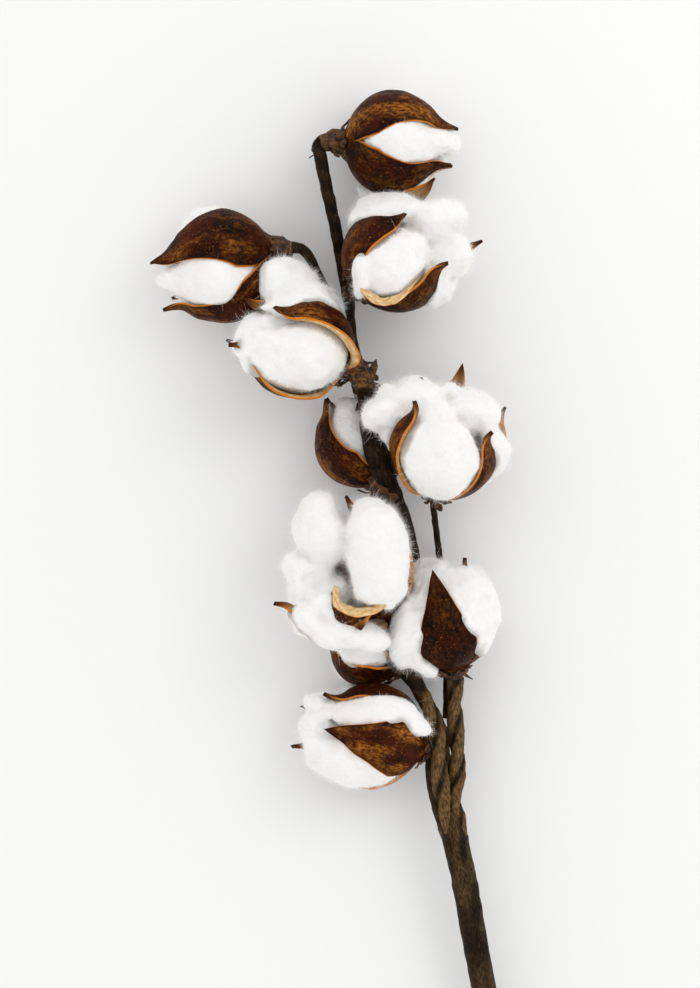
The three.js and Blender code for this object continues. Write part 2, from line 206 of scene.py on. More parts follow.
def shell(rings, start, end):
    """A closed surface: rings of points, each joined to the next, with a point at each end. It
    faces outwards where the way round crossed with the way to the next ring points outwards."""
    count, size = rings.shape[:2]
    points = np.concatenate([[start], rings.reshape(-1, 3), [end]])
    here = np.arange(size)
    after = (here + 1) % size
    row = 1 + size * np.arange(count - 1)[:, None]
    quads = np.stack([row + here, row + after, row + size + after, row + size + here], -1)
    last = 1 + size * (count - 1)
    foot = np.stack([0 * here, 1 + after, 1 + here], -1)
    top = np.stack([0 * here + len(points) - 1, last + here, last + after], -1)
    return points, [quads.reshape(-1, 4), foot, top]


def ended(values, first, last):
    """Numbers for the points of a shell: those of its rings in order, and one for each end."""
    return np.concatenate([[first], np.ravel(values), [last]])


def mesh_of(name, points, faces):
    """A mesh in the frame's metres from points in the layout's millimetres."""
    mesh = bpy.data.meshes.new(name)
    mesh.vertices.add(len(points))
    mesh.vertices.foreach_set("co", ((points + SHIFT) / 1000).ravel())
    corners = np.concatenate([face.ravel() for face in faces])
    sizes = np.concatenate([np.full(len(face), face.shape[1]) for face in faces])
    mesh.loops.add(len(corners))
    mesh.loops.foreach_set("vertex_index", corners.astype(np.int32))
    mesh.polygons.add(len(sizes))
    mesh.polygons.foreach_set("loop_start", (np.cumsum(sizes) - sizes).astype(np.int32))
    mesh.update(calc_edges=True)
    return mesh


def piece(name, shape, finish, slot, nodes, **marks):
    """A smooth piece of that shape and finish, which takes the place of those nodes. marks are
    numbers stored on each of its points, which the finish reads."""
    mesh = mesh_of(name, *shape)
    mesh.shade_smooth()
    for mark, values in marks.items():
        stored = mesh.attributes.new(mark, "FLOAT", "POINT")
        stored.data.foreach_set("value", np.asarray(values, np.float32).ravel())
    mesh.materials.append(finish)
    made = bpy.data.objects.new(name, mesh)
    bpy.context.scene.collection.objects.link(made)
    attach(made, "root")
    if nodes:
        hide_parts(*nodes)


def colour(text):
    """A hex colour as linear RGBA."""
    values = [int(text[i : i + 2], 16) / 255 for i in (1, 3, 5)]
    return [v / 12.92 if v <= 0.04045 else ((v + 0.055) / 1.055) ** 2.4 for v in values] + [1]


def fill(tree, node, inputs):
    """A node's inputs, by name or number: linked to other nodes, or set to a number or hex colour."""
    for name, value in inputs.items():
        if isinstance(value, bpy.types.NodeSocket):
            tree.links.new(value, node.inputs[name])
        else:
            node.inputs[name].default_value = colour(value) if isinstance(value, str) else value


def add(tree, kind, inputs=(), output=0, **settings):
    """A new node with its settings and inputs, given as the output that others read."""
    node = tree.nodes.new("ShaderNode" + kind)
    for name, value in settings.items():
        setattr(node, name, value)
    fill(tree, node, dict(inputs))
    return node.outputs[output]


def finish_named(name, *marks):
    """A new material, its node tree, its main shader and the marks that it reads from the mesh."""
    made = bpy.data.materials.new(name)
    made.use_nodes = True
    tree = made.node_tree
    read = {mark: add(tree, "Attribute", output="Fac", attribute_name=mark) for mark in marks}
    return made, tree, tree.nodes["Principled BSDF"], read


def laid_on(tree, under, over, pattern, low, high, strength=1):
    """One colour laid over another: not at all where the pattern is below low, and from there
    evenly up to that strength where it is above high."""
    edges = {"Value": pattern, "From Min": low, "From Max": high, "To Max": strength}
    share = add(tree, "MapRange", edges)
    return add(tree, "Mix", {0: share, 6: under, 7: over}, output=2, data_type="RGBA")


# Brown crepe tape with a waxy sheen. Its tone mark lays olive brown over the dark brown: partly the
# tape's own tint, and partly a painted highlight where it stands proud, with painted shade left dark in
# the grooves. Its wrinkles run along the stem, so they follow the stem's own length and angle. They are
# drawn 2 mm long and 0.7 mm wide, about twice as coarse as real ones, so that they show. A noise's
# scale is 1000 over the size of its features in millimetres.
TAPE, tree, shader, marks = finish_named("crepe_tape", "along", "around", "tone")
lengths = add(tree, "CombineXYZ", {"X": marks["along"], "Y": marks["around"]})
lengths = add(tree, "VectorMath", {0: lengths, 1: (0.00045, 0.0035, 0)}, operation="MULTIPLY")
crepe = add(tree, "TexNoise", {"Vector": lengths, "Scale": 1000 / 0.9, "Detail": 5, "Roughness": 0.6})
place = add(tree, "TexCoord", output="Object")
patch = add(tree, "TexNoise", {"Vector": place, "Scale": 1000 / 7, "Detail": 4, "Roughness": 0.6})
brown = laid_on(tree, "#0b0602", "#22150a", patch, 0.35, 0.65)
brown = laid_on(tree, brown, "#543c1c", crepe, 0.5, 0.72, 0.4)
olive = laid_on(tree, "#49341a", "#866740", crepe, 0.4, 0.65)
# Olive brown where tone is high: the tape's own tint, and painted highlight where it stands proud.
brown = laid_on(tree, brown, olive, marks["tone"], 0, 1)
wrinkle = add(tree, "Bump", {"Height": crepe, "Strength": 0.7, "Distance": 0.0005})
fill(tree, shader, {"Base Color": brown, "Roughness": 0.5, "Specular IOR Level": 0.08, "Normal": wrinkle})

turn = angles(STEM_SIDES)
for name, stem in STEMS.items():
    in_trunk = math.dist(stem["points"][0], TRUNK[-1]) < BESIDE_TRUNK
    path, along = spline(sunk(stem["points"]) if in_trunk else stem["points"], 0.6)
    run = along[:, None]
    radii = np.interp(along, np.linspace(0, along[-1], len(stem["radii"])), stem["radii"])[:, None]
    screw_end = stem["twist"] + SUNK[0][0] * in_trunk
    twisted = 1 - smooth(screw_end - SCREW_FADE, screw_end, run)
    ridges = wire_ridges(run, turn)
    steps = tape_steps(run, turn, STEM_TAPE_PITCH)
    # As shares of the radius, the ridges of twisted wires are 0.46 high, and the steps of tape 0.07.
    rings = tube(path, radii * (0.93 + 0.46 * (ridges - 0.6) * twisted + 0.07 * steps))
    rough = 0.16 * noise(rings, 3.1, 4) + 0.1 * noise(rings, 1.5, 3)
    rings += rough[..., None] * (rings - path[:, None]) / radii[..., None]
    # No piece sinks into the floor: its lowest points are lifted onto it.
    rings[..., 2] = np.maximum(rings[..., 2], 0.05)
    # tone: the stem's own tint, plus painted highlight on the ridges of the twisted wires and on the steps of
    # tape, so that the grooves between stay dark as painted shade.
    tone = stem["tone"] + 0.8 * smooth(0.3, 0.75, ridges * twisted) + 0.12 * smooth(0.5, 1, steps) - 0.1
    piece(name + "_taped", shell(rings, path[0], path[-1]), TAPE, "tape", [name],
          along=ended(run + 0 * turn, 0, along[-1]), around=ended(turn + 0 * run, 0, 0),
          tone=ended(np.clip(tone, 0, 1), 0, 0))

# ---------------------------------------------------------------------------------------------
# Trunk: the wires of all the stems under one smooth sleeve of the same crepe tape, whose turns show
# as broad, low steps. It is cut square at its lower end, where the tape's edge and two of the
# wires show.
TRUNK_TAPE_PITCH = 13
# Three low ribs, where wires press from inside, go slowly round it.
RIB_PITCH = 240
TRUNK_SIDES = 32
# The sleeve is hollow at the cut end, for this many rings.
HOLLOW_RINGS = 12
HOLLOW_RADIUS = 2.7

path, along = spline(TRUNK, 0.8)
run, turn = along[:, None], angles(TRUNK_SIDES)
thick = np.interp(run, [0, along[-1] - 14, along[-1]], [4.3, 5.3, 4.1])
ribs = 0.025 * np.cos(3 * (turn - run * 2 * np.pi / RIB_PITCH))
steps = tape_steps(run, turn, TRUNK_TAPE_PITCH)
rings = tube(path, thick * (0.98 + ribs + 0.015 * steps))
rough = 0.22 * noise(rings, 4, 5) + 0.1 * noise(rings, 1.6, 6)
rings += rough[..., None] * (rings - path[:, None]) / thick[..., None]
rings[..., 2] = np.maximum(rings[..., 2], 0.02)
patchy = smooth(-0.1, 0.7, noise(rings * [1, 0.25, 1], 2.6, 8))
# Mostly the trunk's own patchy tint, with a faint painted highlight on the steps of tape.
tone = 0.05 * smooth(0.6, 1, steps) + 0.35 * patchy
hollow = tube(path[:HOLLOW_RINGS], np.full((HOLLOW_RINGS, TRUNK_SIDES), HOLLOW_RADIUS))
rings = np.concatenate([hollow[::-1], rings])
run = np.concatenate([run[:HOLLOW_RINGS][::-1], run])
tone = np.concatenate([np.zeros(hollow.shape[:2]), tone])
# Both end points keep tone 0, so the middle of the upper end, where the strands leave it, is painted darker
# as shade.
piece("trunk_taped", shell(rings, path[HOLLOW_RINGS - 1], path[-1]), TAPE, "tape", ["trunk_wrap"],
      along=ended(run + 0 * turn, 0, 0), around=1.6 * ended(turn + 0 * run, 0, 0), tone=ended(tone, 0, 0))


def closed(rings):
    """A shell whose end points are the middles of its end rings."""
    return shell(rings, rings[0].mean(0), rings[-1].mean(0))


# Florist's wire with a thin grey-green coat, faintly speckled and half shiny.
WIRE, tree, shader, _ = finish_named("coated_wire")
place = add(tree, "TexCoord", output="Object")
speckle = add(tree, "TexNoise", {"Vector": place, "Scale": 1000 / 0.8, "Detail": 4, "Roughness": 0.6})
coat = laid_on(tree, "#5b5e55", "#85887f", speckle, 0.4, 0.6)
fill(tree, shader, {"Base Color": coat, "Metallic": 0.8, "Roughness": 0.4})

# The wires lie side by side in the sleeve, and start just inside its cut end.
WIRE_RADIUS = 1.0
WIRE_OFFSET = 1.35
WIRE_SIDES = 14
ahead = np.gradient(path, axis=0)
ahead /= np.linalg.norm(ahead, axis=1, keepdims=True)
side = np.cross([0, 0, 1.0], ahead)
side /= np.linalg.norm(side, axis=1, keepdims=True)
for name, offset in (("wire_one", WIRE_OFFSET), ("wire_two", -WIRE_OFFSET)):
    rings = tube((path + offset * side)[2:], np.full((len(path) - 2, WIRE_SIDES), WIRE_RADIUS))
    piece(name + "_cut", closed(rings), WIRE, "wire", [name])

# ---------------------------------------------------------------------------------------------
# Burs: the dried husks of the bolls. Each is four or five woody valves grown together at the foot,
# thin shells with a rounded rim, a low ridge inside along the middle and a curved beak. They stand
# on a solid base, and where the stem passes at a distance a short neck joins the base to its side.

# base is where a bur starts, and neck is where a short neck ends in the stem. heading and tilt are
# its axis, and azimuths are its valves' places round that, from the side that faces up towards the
# right of the heading. tone is how golden it is outside. valves holds what single valves have of
# their own, and any value that isn't named here is one of VALVE's below.
# For the lint, fluff is how far each lock swells out of the gap after that valve, over is how far it
# then puffs up beside each of its two valves, and bare is how far across the inside of a valve it
# reaches.
BOLLS = {
    "a": dict(
        base=[-2, 141.3, 21], heading=-3, tilt=2, azimuths=[52, 140, 200, 319], tone=0.3, bare=0.97,
        length=61.5, turn=150, rise=92, fluff=[2, 3, 1, 1.5], over=[[0, 3], [2, 2], [2, 0], [1.5, 1.5]],
        valves={0: dict(length=58, tone=0.05), 1: dict(length=59), 2: dict(length=59),
                3: dict(beak=50, tone=0.75)},
    ),
    "b": dict(
        base=[3.2, 82.7, 22], heading=38, tilt=32, azimuths=[62, 135, 220, 316], tone=0.1, bare=0.62,
        length=59, open=18, fluff=[2, 4, 2, 0], over=[[0, 3], [3, 3], [3, 0], [0, 0]],
        neck=[-0.6, 80, 16.5],
        valves={0: dict(turn=143, length=55, flare_before=75, flare_from=0.74),
                1: dict(length=62),
                2: dict(length=62),
                3: dict(turn=152, length=54, half_width=15.5, flare_after=60, flare_from=0.78, tone=0.0)},
    ),
    "c": dict(
        base=[-30.9, 97.9, 21.6], heading=195, tilt=0, azimuths=[28, 140, 220, 292], tone=0.3, bare=0.97,
        length=65, turn=146, rise=92, fluff=[1, 2, 2, 1], over=[[0, 2], [2, 2], [2, 0], [1, 1]],
        valves={0: dict(half_width=16.5), 1: dict(length=60, turn=148), 2: dict(length=60, turn=148),
                3: dict(half_width=15)},
    ),
    "d": dict(
        base=[-2.4, 51, 22], heading=158, tilt=33, azimuths=[50, 140, 215, 262], tone=0.5, bare=0.5,
        length=61, half_width=13, open=6, fluff=[5, 4, 0, 0], over=[[0, 3], [3, 3], [2, 0], [0, 0]],
        neck=[3.4, 49.5, 23],
        valves={0: dict(open=5, length=57, half_width=14.5, flare_before=115, flare_from=0.5),
                3: dict(rise=76, turn=137, length=64, beak=80, half_width=12.5, flare_after=60,
                        flare_from=0.7)},
    ),
    "e": dict(
        base=[34.3, 0.8, 27], heading=72, tilt=38, azimuths=[66, 130, 195, 248, 294], tone=0.35, bare=0.75,
        length=58, half_width=12, open=18, fluff=[3, 4, 4, 5, 2],
        over=[[0, 3], [3, 3], [3, 3], [3, 1], [1, 1]],
        valves={0: dict(length=49, rise=75, turn=135, flare_before=50, flare_from=0.78, tone=0.1),
                1: dict(length=53),
                2: dict(length=61),
                4: dict(half_width=10.5, flare_after=70, flare_from=0.7, tone=0.6)},
    ),
    "f": dict(
        base=[12.1, 4, 19.8], heading=115, tilt=-3, azimuths=[95, 130, 210, 302], tone=0.55, bare=0.7,
        length=53, fluff=[1, 1.5, 1.5, -5], over=[[1, 1], [2, 2], [2, 0], [0, 0]], neck=[17.5, -2, 26.5],
        valves={3: dict(half_width=15.5, beak=25, tone=0.85)},
    ),
    "g": dict(
        base=[18.4, -48.3, 32], heading=139, tilt=34, azimuths=[122, 182, 265, 320], tone=0.12, bare=0.72,
        length=61, open=24, fluff=[4, 4, 2, 1], over=[[2, 2], [2, 2], [2, 1], [0, 1]], neck=[23.6, -49, 28],
        valves={2: dict(half_width=8.5),
                3: dict(rise=30, turn=85, open=0, length=31, half_width=19, curve=15, curl=120, beak=20,
                        crowd=2.4, tone=0.0)},
    ),
    "h": dict(
        base=[41.9, -70.2, 25.5], heading=102, tilt=5, azimuths=[85, 180, 243, 356], tone=0.05, bare=0.9,
        length=55, half_width=12.6, open=6, fluff=[3, 1, 3, 3], over=[[2, 2], [2, 2], [2, 1], [1, 2]],
        valves={2: dict(length=50, half_width=11), 3: dict(crowd=1.6, tone=-0.4)},
    ),
    "i": dict(
        base=[29.7, -101.9, 21], heading=166, tilt=8, azimuths=[78, 165, 232, 357], tone=0.9, bare=0.9,
        length=61, half_width=13, open=4, fluff=[2.5, 2.5, 0, 1.5], over=[[0, 3], [3, 3], [1, 1], [0, 0]],
        valves={0: dict(length=57.5, tone=0.25), 1: dict(length=65), 2: dict(length=64, beak=85),
                3: dict(length=55)},
    ),
    "j": dict(
        base=[19.3, -70.4, 17], heading=146, tilt=-2, azimuths=[55, 120, 200, 302], tone=0.5, bare=0.75,
        length=45, half_width=10.5, fluff=[0.5, 1.5, 1.5, 2], over=[[1, 1], [2, 2], [2, 0], [2, 3]],
        valves={3: dict(length=42, flare_after=60, flare_from=0.78)},
    ),
}
# A valve starts at the base with a lean of rise degrees outwards, closes in by turn degrees, leans
# back out by open, and bends its tip out by beak. Its section is an arc of radius curve. Its upper
# half can be rolled outwards by curl degrees, and from flare_from of the way to an edge it can turn
# back outwards: flare_before for the edge on the lower azimuth's side and flare_after for the other.
# crowd is how much of its room between its neighbours it may fill.
VALVE = dict(length=62, half_width=14, curve=19, rise=84, turn=138, open=0, beak=62, curl=0,
             flare_before=0, flare_after=0, flare_from=0.62, crowd=1.0)
# How far from the axis a valve starts, and about how thick it is.
VALVE_FOOT = 2
WALL = 1.3


def valves_of(boll):
    """Each valve's sizes and tone, its azimuth, and half the angle to the next valve on each side."""
    turns = np.radians(boll["azimuths"])
    gaps = (np.roll(turns, -1) - turns) % (2 * np.pi)
    sizes = {key: boll[key] for key in VALVE if key in boll}
    return [
        {**VALVE, **sizes, "tone": boll["tone"], **boll["valves"].get(i, {}),
         "azimuth": turns[i], "after": gaps[i] / 2, "before": gaps[i - 1] / 2}
        for i in range(len(turns))
    ]


def placed(boll, points):
    """Points from a boll's own frame, with its axis up and azimuth 0 on top, to the bunch."""
    heading, tilt = np.radians(boll["heading"]), np.radians(boll["tilt"])
    axis = np.array([np.cos(tilt) * np.cos(heading), np.cos(tilt) * np.sin(heading), np.sin(tilt)])
    up = np.array([0, 0, 1]) - axis * axis[2]
    up /= np.linalg.norm(up)
    side = np.cross(axis, up)
    return points @ np.array([up, side, axis]) + boll["base"]


def around_axis(azimuth, radius, height):
    """A point from its azimuth, its distance from the axis and its height along the axis."""
    place = np.broadcast_arrays(radius * np.cos(azimuth), radius * np.sin(azimuth), height)
    return np.stack(place, -1)


def midline(valve, along):
    """Distance, height and lean of a valve's midline. The lean closes in evenly over the first 0.86
    of the length, and its sines and cosines are added up from the base on."""
    fine = np.linspace(0, 1, 240)
    turned = valve["turn"] * np.minimum(fine, 0.86) / 0.86
    opened = valve["open"] * smooth(0, 0.55, fine) + valve["curl"] * smooth(0.32, 0.7, fine)
    opened += valve["beak"] * smooth(0.8, 1, fine)
    lean = np.radians(valve["rise"] - turned + opened)
    step = valve["length"] / (len(fine) - 1)
    radius = VALVE_FOOT + step * np.concatenate([[0], np.cumsum((np.sin(lean[1:]) + np.sin(lean[:-1])) / 2)])
    height = step * np.concatenate([[0], np.cumsum((np.cos(lean[1:]) + np.cos(lean[:-1])) / 2)])
    return [np.interp(along, fine, line) for line in (radius, height, lean)]


def half_width(valve, along):
    """Half the width of a valve: a round shoulder to 0.4 of its length, then an even taper that is
    never quite a point."""
    shoulder = np.sqrt(np.maximum(1 - np.clip(1 - along / 0.4, 0, 1) ** 2, 0))
    taper = (1 - np.clip((along - 0.4) / 0.6, 0, 1)) ** 0.9
    return np.maximum(valve["half_width"] * shoulder * taper, 0.35 - 0.25 * smooth(0.9, 1, along))


def valve_points(valve, along, across, depth):
    """Points of a valve for rows along it and columns across it, that deep under its skin. Its
    section is an arc, which can turn back outwards towards either edge in a tighter arc, and it is
    no wider than the room that its neighbours leave: the tangent of half the angle to the next."""
    radius, height, lean = (line[:, None] for line in midline(valve, along))
    u = along[:, None]
    curve = valve["curve"] * (0.3 + 0.7 * np.sin(np.pi * np.clip(u, 0, 1) ** 0.8))
    sector = np.minimum(np.where(across > 0, valve["after"], valve["before"]), 1.3)
    room = np.maximum(radius * np.tan(sector) * (1.03 - 0.1 * smooth(0.12, 0.3, u)), 0.5)
    width = np.minimum(half_width(valve, along)[:, None], valve["crowd"] * room)
    share, start = np.abs(across), valve["flare_from"]
    arc = width * np.minimum(share, start) / curve
    beyond = width * np.maximum(share - start, 0)
    flare = np.radians(np.where(across > 0, valve["flare_after"], valve["flare_before"]))
    flare = flare * smooth(0.08, 0.3, u) * (1 - smooth(0.8, 0.95, u))
    turning = flare / (width * (1 - start)) - 1 / curve
    turning = np.where(np.abs(turning) < 1e-4, 1e-4, turning)
    bend = arc - beyond * turning
    sideways = curve * np.sin(arc) + (np.sin(arc) - np.sin(bend)) / turning
    inwards = curve * (1 - np.cos(arc)) + (np.cos(bend) - np.cos(arc)) / turning
    sideways = (sideways - depth * np.sin(bend)) * np.sign(across)
    inwards = inwards + depth * np.cos(bend)
    middle = around_axis(valve["azimuth"], radius - inwards * np.cos(lean), height + inwards * np.sin(lean))
    return middle + around_axis(valve["azimuth"] + np.pi / 2, sideways, 0 * sideways)


def spread(rings, marks):
    """Marks as one number for each point of a shell: those of its rings, and at each end the same
    as on the point beside it."""
    every = {name: np.broadcast_to(values, rings.shape[:2]).ravel() for name, values in marks.items()}
    return {name: ended(values, values[0], values[-1]) for name, values in every.items()}


def valve_shell(valve, seed):
    """One valve as a closed shell, and its marks for the finish. Each ring goes across the skin from
    edge to edge, round the rim and back across the inner face, a wall's thickness deeper, where a
    ridge with the outline of a bell curve stands along the middle. Noise makes it uneven."""
    along = np.concatenate([np.linspace(0, 0.72, 30), np.linspace(0.74, 1, 18)])
    row = along[:, None]
    face = np.linspace(-0.975, 0.975, 17)
    across = np.concatenate([[-0.995], face, [0.995, 1.0, 0.995], face[::-1], [-0.995, -1.0]])
    inner = np.concatenate([[0.12], 0 * face, [0.12, 0.5, 0.88], 0 * face + 1, [0.88, 0.5]])
    wall = WALL * (1.1 - 0.85 * smooth(0.88, 1, row)) * (1 - 0.35 * smooth(0.6, 1, np.abs(across)))
    ridge = 1.3 * np.exp(-((across / 0.07) ** 2)) * inner * smooth(0.05, 0.2, row)
    spots = np.stack(np.broadcast_arrays(row * 9, np.sign(across) * 3, seed), -1)
    uneven = across * (1 + 0.04 * noise(spots, 1, seed))
    rings = valve_points(valve, along, uneven, wall * inner + ridge)
    ripple = noise(rings, 6, seed) * 0.35 + noise(rings, 2.2, seed + 1) * 0.12
    rings *= 1 + (ripple * smooth(0.1, 0.3, row) / 25)[..., None]
    marks = dict(along=row, rim=np.abs(across), inner=inner, run=row * valve["length"],
                 cross=np.outer(half_width(valve, along), across), own=seed, tone=valve["tone"])
    return closed(rings), spread(rings, marks)


# The front valve of boll g is short, and its upper half is rolled outwards. It shows as a pale lip
# round the foot of the large lock, and below that as the dark outside of its folded beak. The lower
# front valve of boll b is rolled out along one edge. Each is a thin leaf between two edges, and pale
# is 1 where the inner face of the valve is up, and 0 where its outside is.
LIPS = [
    dict(boll="g", pale=1,
         inside=[[-3.5, -36, 54], [-3.5, -39.9, 54], [-1.9, -42.2, 54], [1.6, -43.8, 54], [6.6, -43.8, 54],
                 [10.9, -42.2, 54], [14, -40.3, 54]],
         outside=[[-6.6, -34.8, 57], [-7.3, -39.8, 57.5], [-5.4, -44.4, 57.5], [-0.4, -47.1, 57],
                  [6.2, -47.5, 56], [11.6, -46, 55], [15.5, -43.3, 54]]),
    dict(boll="g", pale=0,
         inside=[[-5.8, -37.4, 55], [-5.1, -42.4, 55], [-1.2, -45.9, 55], [3.1, -46.7, 54], [7, -46.7, 53]],
         outside=[[-7.8, -38.4, 54], [-7.4, -45.9, 53], [-3.5, -51, 52], [1.9, -52.2, 51], [6.6, -49.4, 51]]),
    dict(boll="b", pale=1,
         inside=[[5.1, 82.1, 50], [8.2, 78.6, 50], [13.3, 76.6, 50], [18.4, 77.8, 50], [22.7, 81.3, 49.5],
                 [27, 85.5, 49]],
         outside=[[2.5, 79.7, 50], [6.6, 75, 50.5], [12.5, 73, 50.5], [18.7, 74.6, 50.5], [23.4, 78.5, 50],
                  [27.3, 83.5, 49]]),
]
LIP_ROWS = 44


def lip_shell(lip, seed):
    """A leaf between two edges, and its marks as on a valve. Each ring goes across its top, which is
    arched as a sine, and back underneath, and the rings narrow to a point at either end."""
    share = np.linspace(0, 1, LIP_ROWS)
    edges = (spline(lip[edge], 0.3)[0] for edge in ("inside", "outside"))
    one, two = (points_at(share, np.linspace(0, 1, len(edge)), edge) for edge in edges)
    top = np.linspace(0, 1, 11)
    back = top[-2:0:-1]
    across = np.concatenate([top, back])
    under = np.concatenate([0 * top, 0.9 * np.sin(np.pi * back) ** 0.5])
    ends = np.sqrt(np.maximum(np.sin(np.pi * np.clip(share, 0.02, 0.98)), 0)) ** 0.5
    middle = (one + two) / 2
    rings = middle[:, None] + (across - 0.5)[None, :, None] * (ends[:, None] * (two - one))[:, None]
    rings[..., 2] += 0.9 * np.sin(np.pi * across) - under
    rings += 0.35 * noise(rings, 3, seed)[..., None] + 0.2 * noise(rings, 1.3, seed + 1)[..., None]
    inner = np.concatenate([0 * top + lip["pale"], 0 * back + 1 - lip["pale"]])
    marks = dict(along=0.3, rim=0.4 + 0.6 * across, inner=inner, run=40 * share[:, None], cross=5 * across,
                 own=seed, tone=0.1)
    return closed(rings), spread(rings, marks)


def joined(shells):
    """Several shells as one: points put end to end, and faces renumbered to match."""
    points, faces, first = [], [], 0
    for some_points, some_faces in shells:
        points.append(some_points)
        faces += [face + first for face in some_faces]
        first += len(some_points)
    return np.concatenate(points), faces


# Dried bur: a leathery husk, nearly black in places and red brown in others, worn to gold in
# speckled patches. Its rim is orange where the outer skin stops, its inner face is pale straw, and
# its beak is dark. Its wear and its grain follow the valve, twice as long as wide: run and cross are
# millimetres along and across it, and own is its number, which sets it apart from the next valve.
BUR, tree, shader, marks = finish_named("dried_husk", "along", "rim", "inner", "run", "cross", "own", "tone")
lengths = add(tree, "CombineXYZ", {"X": marks["run"], "Y": marks["cross"], "Z": marks["own"]})
lengths = add(tree, "VectorMath", {0: lengths, 1: (0.0005, 0.001, 0.1)}, operation="MULTIPLY")
wear = add(tree, "TexNoise", {"Vector": lengths, "Scale": 1000 / 9, "Detail": 4, "Roughness": 0.6})
grain = add(tree, "TexNoise", {"Vector": lengths, "Scale": 1000 / 1.1, "Detail": 6, "Roughness": 0.6})
streak = add(tree, "TexNoise", {"Vector": lengths, "Scale": 1000 / 1.6, "Detail": 4, "Roughness": 0.6})
place = add(tree, "TexCoord", output="Object")
patch = add(tree, "TexNoise", {"Vector": place, "Scale": 1000 / 13, "Detail": 4, "Roughness": 0.6})
fleck = add(tree, "TexNoise", {"Vector": place, "Scale": 1000 / 0.9, "Detail": 3, "Roughness": 0.6})
waxy = add(tree, "TexNoise", {"Vector": place, "Scale": 1000 / 3, "Detail": 4, "Roughness": 0.6})
leather = add(tree, "TexNoise", {"Vector": place, "Scale": 1000 / 1.8, "Detail": 6, "Roughness": 0.6})
outside = laid_on(tree, "#090301", "#3a1305", patch, 0.4, 0.6)
outside = laid_on(tree, outside, "#5a260a", grain, 0.4, 0.68, 0.35)
gold = laid_on(tree, "#4f2208", "#c07a26", grain, 0.4, 0.68)
golden = add(tree, "MapRange", {"Value": marks["tone"], "From Min": -0.54, "From Max": 1})
outside = laid_on(tree, outside, gold, wear, 0.47, 0.64, golden)
outside = laid_on(tree, outside, "#b5752c", fleck, 0.62, 0.72, 0.5)
outside = laid_on(tree, outside, "#120703", marks["rim"], 0.6, 0.92, 0.6)
straw = laid_on(tree, "#c79453", "#f0d9ae", streak, 0.35, 0.7)
straw = laid_on(tree, straw, "#8a5424", marks["along"], 0.75, 0.95)
husk = laid_on(tree, outside, straw, marks["inner"], 0, 1)
husk = laid_on(tree, husk, "#cf7a24", marks["rim"], 0.94, 0.985)
husk = laid_on(tree, husk, "#3a1e0e", marks["along"], 0.9, 0.99)
dull = {"Value": waxy, "From Min": 0.3, "From Max": 0.7, "To Min": 0.32, "To Max": 0.6}
dull = add(tree, "MapRange", dull)
wrinkle = add(tree, "Bump", {"Height": leather, "Strength": 0.7, "Distance": 0.0005})
fill(tree, shader, {"Base Color": husk, "Roughness": dull, "Specular IOR Level": 0.05, "Normal": wrinkle})

# The outline of the solid base, as distance from the axis and height, from its foot to its top.
BASE = np.array([
    [0.1, -2.4], [2.4, -2.4], [3.0, -1.4], [3.4, -0.5], [6, 0.1], [6.6, 0.9], [6.4, 1.5], [3, 2.3],
    [0.1, 2.3],
])
BASE_SIDES = 32
NECK_RADIUS = 2.1
NECK_SIDES = 16
for letter, boll in BOLLS.items():
    seed = ord(letter) - 96
    plain = dict(along=0.2, rim=0, inner=0, run=0, cross=0, own=seed, tone=boll["tone"])
    rings = around_axis(angles(BASE_SIDES), BASE[:, :1], BASE[:, 1:])
    base = shell(rings, np.array([0, 0, BASE[0, 1]]), np.array([0, 0, BASE[-1, 1]]))
    parts = [(base, spread(rings, plain))]
    parts += [valve_shell(valve, seed * 7 + i) for i, valve in enumerate(valves_of(boll))]
    parts = [((placed(boll, points), faces), marks) for (points, faces), marks in parts]
    if "neck" in boll:
        path, along = spline([boll["base"], boll["neck"]], 0.5)
        rings = tube(path, NECK_RADIUS + 0 * along[:, None] + 0.1 * np.cos(3 * angles(NECK_SIDES)))
        parts.append((shell(rings, path[0], path[-1]), spread(rings, plain)))
    lips = [lip for lip in LIPS if lip["boll"] == letter]
    parts += [lip_shell(lip, 90 + i) for i, lip in enumerate(lips)]
    points, faces = joined([shape for shape, marks in parts])
    points[:, 2] = np.maximum(points[:, 2], 0.02)
    stored = {name: np.concatenate([marks[name] for shape, marks in parts]) for name in plain}
    piece("husk_" + letter, (points, faces), BUR, "bur", ["bur_" + letter], **stored)

# ---------------------------------------------------------------------------------------------
# Lint: the cotton of a boll, one soft lock in each gap of its bur. A lock lies against the inside of
# its two valves, swells out between them and crowns over the mouth. The locks of a boll cling
# together, so they are one skin, and loose fibres stand off it.

